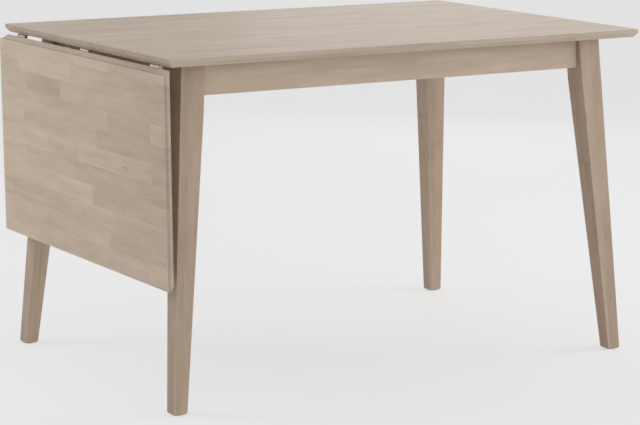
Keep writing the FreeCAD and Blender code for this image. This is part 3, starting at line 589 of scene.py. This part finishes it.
def makeRun(name, node, lengthAxis, ease, place):
    # a board between two faces; its ends lean as much as its box says
    corners = points(node)
    low, high = corners.min(0), corners.max(0)
    thickAxis = 1 - lengthAxis
    centre = (low + high) / 2
    half = (high - low) / 2
    reach = half[lengthAxis]
    upper = corners[np.abs(corners[:, 2] - high[2]) < apron["touch"]]
    lean = (reach - np.ptp(upper[:, lengthAxis]) / 2) / (2 * half[2])
    thick, tall = (easeLine([(size - apron["closingInset"] * ease, -reach), (size, -reach), (size, reach),
                             (size - apron["closingInset"] * ease, reach)], ease)
                   for size in (half[thickAxis], half[2]))
    rings, wear = easedSolid([thick, tall, thick, tall], ease)
    run = rings[:, :, 2] * (1 - lean * (rings[:, :, 1] + half[2]) / reach)
    shape = np.empty_like(rings)
    shape[:, :, lengthAxis] = run
    shape[:, :, thickAxis] = rings[:, :, 0]
    shape[:, :, 2] = rings[:, :, 1]
    stepAlong, stepAcross = apron["boardStep"]
    board = np.stack([run, rings[:, :, 1], rings[:, :, 0]], axis=-1)
    board = board + [stepAlong * place + apron["boardStart"], stepAcross * place, 0]
    piece = skin(name, shape + centre, apronWood, wear, board, np.eye(3)[lengthAxis])
    install(piece, "frame", node)


makeRun("apronFront", "front_apron", 0, apron["ease"], 1)
makeRun("apronBack", "back_apron", 0, apron["ease"], 2)
makeRun("apronLeafEnd", "leaf_end_apron", 1, apron["ease"], 3)
makeRun("apronFarEnd", "far_end_apron", 1, apron["ease"], 4)
makeRun("middleRail", "middle_rail", 1, apron["railEase"], 5)
print("aprons and rail made")


# screws and bolts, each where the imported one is

fastener = {"decimals": 6, "rimShare": 0.9995, "turnStep": 2.4, "sharpAngle": 30}


def separateSolids(node):
    # The points of each separate solid.  Every point takes the lowest number among its neighbours'
    # until one number fills each solid.
    spots, number = np.unique(points(node).round(fastener["decimals"]), axis=0, return_inverse=True)
    ends = number.ravel()[readEach(frame["nodes"][node].data.edges, "vertices", 2, int)]
    label, before = np.arange(len(spots)), None
    while before is None or (label != before).any():
        before = label.copy()
        lowest = label[ends].min(1)
        np.minimum.at(label, ends[:, 0], lowest)
        np.minimum.at(label, ends[:, 1], lowest)
    return [spots[label == own] for own in np.unique(label)]


def headAndTip(solid):
    # the tip is farthest from the mean of the points, and the head's rim is farthest from the tip
    tip = solid[np.linalg.norm(solid - solid.mean(0), axis=1).argmax()]
    reach = np.linalg.norm(solid - tip, axis=1)
    return solid[reach > fastener["rimShare"] * reach.max()].mean(0), tip


def makeFasteners(body, node, finish, shape):
    # copies of one shape, whose own z runs from the head into the wood, each turned its own way
    pairs = np.array([headAndTip(solid) for solid in separateSolids(node)])
    inward = pairs[:, 1] - pairs[:, 0]
    rings = shape(np.linalg.norm(inward, axis=1).mean())
    turn = np.arange(len(pairs)) * fastener["turnStep"]
    frames = [Vector(way).to_track_quat("Z", "Y").to_matrix() @ Matrix.Rotation(angle, 3, "Z")
              for way, angle in zip(inward, turn)]
    corners = np.einsum("nij,kaj->nkai", np.array(frames), rings) + pairs[:, 0][:, None, None]
    count, around = rings.shape[:2]
    quads, closing = ringFaces(count, around)
    start = (np.arange(len(pairs)) * count * around)[:, None]
    faces = (quads[None] + start[:, :, None]).reshape(-1, 4).tolist()
    faces += (closing[0] + start).tolist() + (closing[1] + start).tolist()
    name = camel(node)
    mesh = smoothMesh(name, corners.reshape(-1, 3), faces)
    mesh.set_sharp_from_angle(angle=radians(fastener["sharpAngle"]))
    mesh.materials.append(finish)
    install(addObject(name, mesh), body, node)


screw = {"headRadius": 0.0032, "headRim": 0.00015, "countersink": 0.0017, "shankRadius": 0.0016,
         "taper": 0.0032, "tipShare": 0.05, "recessReach": 0.0018, "recessWidth": 0.0011,
         "recessDepth": 0.0013, "recessWaist": 0.7, "recessFoot": 0.35,
         "armOutline": ((0.8, -0.9), (1, -0.5), (1, 0.5), (0.8, 0.9)), "firstAngle": -45}


def screwShape(length):
    # Circles from the head's rim to the tip, and inside the rim a cross with as many points.  An arm of
    # the cross runs from its root through the outline, in shares of its reach and half its width.  The
    # cross has shrunk halfway to its foot's size at the waist, and to that size at the bottom.
    reach, wide = screw["recessReach"], screw["recessWidth"] / 2
    arm = np.array([[wide, -wide]] + [[out * reach, aside * wide] for out, aside in screw["armOutline"]])
    quarters = np.arange(4) * pi / 2
    spin = np.array([[np.cos(quarters), -np.sin(quarters)], [np.sin(quarters), np.cos(quarters)]])
    cross = np.einsum("ijq,pj->qpi", spin, arm).reshape(-1, 2)
    angle = np.radians(np.arange(len(cross)) * 360 / len(cross) + screw["firstAngle"])
    circle = np.stack([np.cos(angle), np.sin(angle)], axis=1)
    head, shank = screw["headRadius"], screw["shankRadius"]
    foot, deep = screw["recessFoot"], screw["recessDepth"]
    rows = [(cross * foot, deep),
            (cross * (1 + foot) / 2, deep * screw["recessWaist"]),
            (cross, 0),
            (circle * (head - screw["headRim"]), 0),
            (circle * head, screw["headRim"]),
            (circle * shank, screw["countersink"]),
            (circle * shank, length - screw["taper"]),
            (circle * shank * screw["tipShare"], length)]
    return np.array([np.column_stack([outline, np.full(len(outline), depth)]) for outline, depth in rows])


bolt = {"radius": 0.004, "pitch": 0.00125, "threadDepth": 0.0006, "threaded": 0.026, "chamfer": 0.001,
        "point": 0.004, "tipShare": 0.02, "around": 24, "stepsPerPitch": 6}


def boltShape(length):
    # A helical groove: radius = bolt radius - thread depth * |2 * part(height / pitch - angle / turn) - 1|,
    # where part keeps what is behind the decimal point.  The end narrows by its chamfer.
    around, full = bolt["around"], bolt["radius"]
    angle = np.arange(around) * 2 * pi / around
    depth = np.arange(0, bolt["threaded"], bolt["pitch"] / bolt["stepsPerPitch"])
    wave = (depth[:, None] / bolt["pitch"] - angle[None] / (2 * pi)) % 1
    radius = full - bolt["threadDepth"] * np.abs(2 * wave - 1)
    radius = np.minimum(radius, full - bolt["chamfer"] + depth[:, None])
    ends = np.array([(full, bolt["threaded"] + bolt["pitch"]), (full, length - bolt["point"]),
                     (full * bolt["tipShare"], length)])
    radius = np.concatenate([radius, np.repeat(ends[:, :1], around, axis=1)])
    depth = np.repeat(np.concatenate([depth, ends[:, 1]])[:, None], around, axis=1)
    return np.stack([radius * np.cos(angle), radius * np.sin(angle), depth], axis=-1)


screwBodies = {"top_bracket_screws": "frame", "corner_plate_screws": "frame", "top_hinge_screws": "frame",
               "leaf_hinge_screws": "leaf", "stay_bracket_screws": "frame", "stay_guide_screws": "leaf"}
for node, body in screwBodies.items():
    makeFasteners(body, node, screwSteel, screwShape)
makeFasteners("frame", "leg_bolts", platedSteel, boltShape)
print("screws and bolts made")


# finishes for the nodes that are shown as packed, by words in their names

nodeFinishes = {
    "hinge_plate": hingeSteel, "hinge_pin": hingeSteel, "stay_arm": staySteel, "stay_guide": staySteel,
    "stay_pivot": rivetSteel, "stay_tip": rivetSteel, "friction": glideNylon, "glides": glideNylon,
    "corner_plate": platedSteel, "leg_bolt": platedSteel, "bracket": platedSteel, "dowels": dowelWood,
}
for name, node in frame["nodes"].items():
    for words, finish in nodeFinishes.items():
        if words in name:
            for slot in node.material_slots:
                slot.material = finish
print("finishes assigned to packed nodes")


# floor, lights and camera

stage = {"floorSize": 120, "floorDrop": 0.0003, "floor": tint(242, 242, 242),
         "floorShade": tint(238, 238, 238), "floorClouds": ((1.5, 1.5, 1.5), 2.0, 0.5),
         "floorRoughness": 0.75, "floorGlow": 0.93, "glowShare": 0.62, "backdrop": 1.0,
         "overheadLight": 0.81, "frontLight": 3.15, "bandHeight": 0.6}
lamps = {
    "sideLamp": {"place": (2.6, -0.9, 1.5), "aim": (0.2, 0.0, 0.5), "size": 1.6, "power": 23},
    "backLamp": {"place": (2.3, 2.8, 1.35), "aim": (0.4, 0.2, 0.7), "size": 1.6, "power": 7.2},
    "leftLamp": {"place": (-2.8, 1.5, 1.8), "aim": (-0.3, 0.15, 0.5), "size": 1.6, "power": 27.5},
}
view = {"place": (-2.7789, -4.5208, 1.2994), "heading": 31.657, "dip": 10.508, "roll": 0.292, "lens": 131.64}


def seenRay(finish):
    # 1 for what the camera sees, straight or in a polished or clear surface
    camera, glossy, clear = (finish.add("ShaderNodeLightPath", None, None, kind) for kind in
                             ("Is Camera Ray", "Is Glossy Ray", "Is Transmission Ray"))
    return finish.limit(camera + glossy + clear)


def makeFloor():
    # What the camera sees of it is part paint, which takes the lamps' light and the shadows, and part
    # an even glow like the backdrop's.  From below it can be seen through.
    reach = stage["floorSize"] / 2
    mesh = bpy.data.meshes.new("floor")
    corners = [(-reach, -reach), (reach, -reach), (reach, reach), (-reach, reach)]
    mesh.from_pydata([(*corner, -stage["floorDrop"]) for corner in corners], [], [(0, 1, 2, 3)])
    finish = Finish(bpy.data.materials.new("floorPaint"))
    clouds = finish.noise(finish.objectPlace(), stage["floorClouds"])
    colour = finish.mix(clouds, stage["floorShade"], stage["floor"])
    paint = finish.add("ShaderNodeBsdfPrincipled", None,
                       {"Base Color": colour, "Roughness": stage["floorRoughness"]})
    glow = finish.add("ShaderNodeEmission", None, {"Strength": stage["floorGlow"]})
    share = seenRay(finish) * stage["glowShare"]
    blend = finish.add("ShaderNodeMixShader", None, {0: share, 1: paint, 2: glow})
    below = finish.add("ShaderNodeNewGeometry", None, None, "Backfacing")
    clear = finish.add("ShaderNodeBsdfTransparent")
    shader = finish.add("ShaderNodeMixShader", None, {0: below, 1: blend, 2: clear})
    finish.add("ShaderNodeOutputMaterial", None, {"Surface": shader})
    mesh.materials.append(finish.owner)
    addObject("floor", mesh)


def makeWorld():
    # The camera, polished surfaces and clear ones see an even backdrop.  All else is lit as in a tent:
    # level = overhead light * height + front light * (1 - height / band height) * how far the way
    # points to the front, which is -Y.
    world = bpy.data.worlds.new("studio")
    bpy.context.scene.world = world
    tent = Finish(world)
    seen = seenRay(tent)
    place = tent.split(tent.add("ShaderNodeTexCoord", None, None, "Generated"))
    height = tent.limit(place[2])
    band = tent.limit(1 - height / stage["bandHeight"])
    front = band * tent.limit(place[1] * -1)
    level = height * stage["overheadLight"] + front * stage["frontLight"]
    light = tent.add("ShaderNodeBackground", None,
                     {"Strength": seen * stage["backdrop"] + (1 - seen) * level})
    tent.add("ShaderNodeOutputWorld", None, {"Surface": light})


def makeLamps():
    for name, settings in lamps.items():
        light = bpy.data.lights.new(name, "AREA")
        light.energy = settings["power"]
        light.size = settings["size"]
        lamp = addObject(name, light)
        lamp.location = settings["place"]
        outward = Vector(settings["place"]) - Vector(settings["aim"])
        lamp.rotation_euler = outward.to_track_quat("Z", "Y").to_euler()
        lamp.visible_camera = False


def makeCamera():
    # looks along +Y, then turns right by the heading, down by the dip and rolls about its own axis
    lens = bpy.data.cameras.new("camera")
    lens.lens = view["lens"]
    camera = addObject("camera", lens)
    turn = Euler((radians(90 - view["dip"]), 0, -radians(view["heading"]))).to_matrix()
    turn = turn @ Matrix.Rotation(radians(view["roll"]), 3, "Z")
    camera.location = view["place"]
    camera.rotation_euler = turn.to_euler()
    bpy.context.scene.camera = camera


makeFloor()
makeWorld()
makeLamps()
makeCamera()
bpy.context.scene.view_settings.view_transform = "Standard"
print("stage made")
